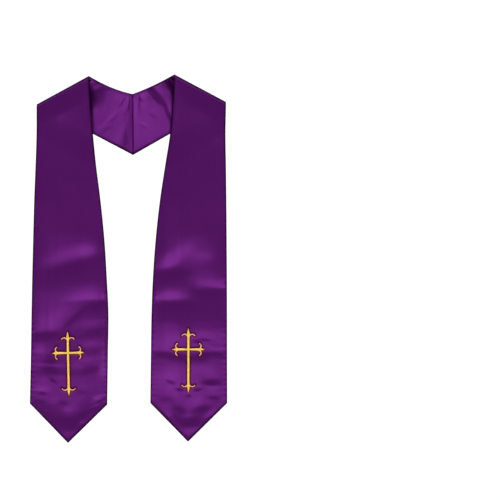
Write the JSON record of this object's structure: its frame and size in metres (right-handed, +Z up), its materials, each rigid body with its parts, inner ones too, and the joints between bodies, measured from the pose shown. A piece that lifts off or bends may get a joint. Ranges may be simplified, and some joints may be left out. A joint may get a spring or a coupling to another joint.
{
  "type": "choir stole",
  "caption": "Satin stole laid flat: a strip folded over at each shoulder, joined by a centre back seam, with a pointed end and an embroidered cross on each front.",
  "frame": {"origin": "on the surface that the stole lies on, below the middle of its box", "axes": "+X to the right and +Y towards the neck as seen from above, +Z up from the surface"},
  "size_m": [0.4096, 0.7654, 0.01],
  "materials": {
    "face_satin": "smooth purple satin with a soft sheen",
    "lining_satin": "smooth purple lining satin",
    "gold_thread": "glossy gold embroidery thread in satin stitch"
  },
  "bodies": {
    "root": {"left_face": "face_satin", "right_face": "face_satin", "left_lining": "lining_satin", "right_lining": "lining_satin", "left_cross": "gold_thread", "right_cross": "gold_thread"}
  },
  "joints": []
}
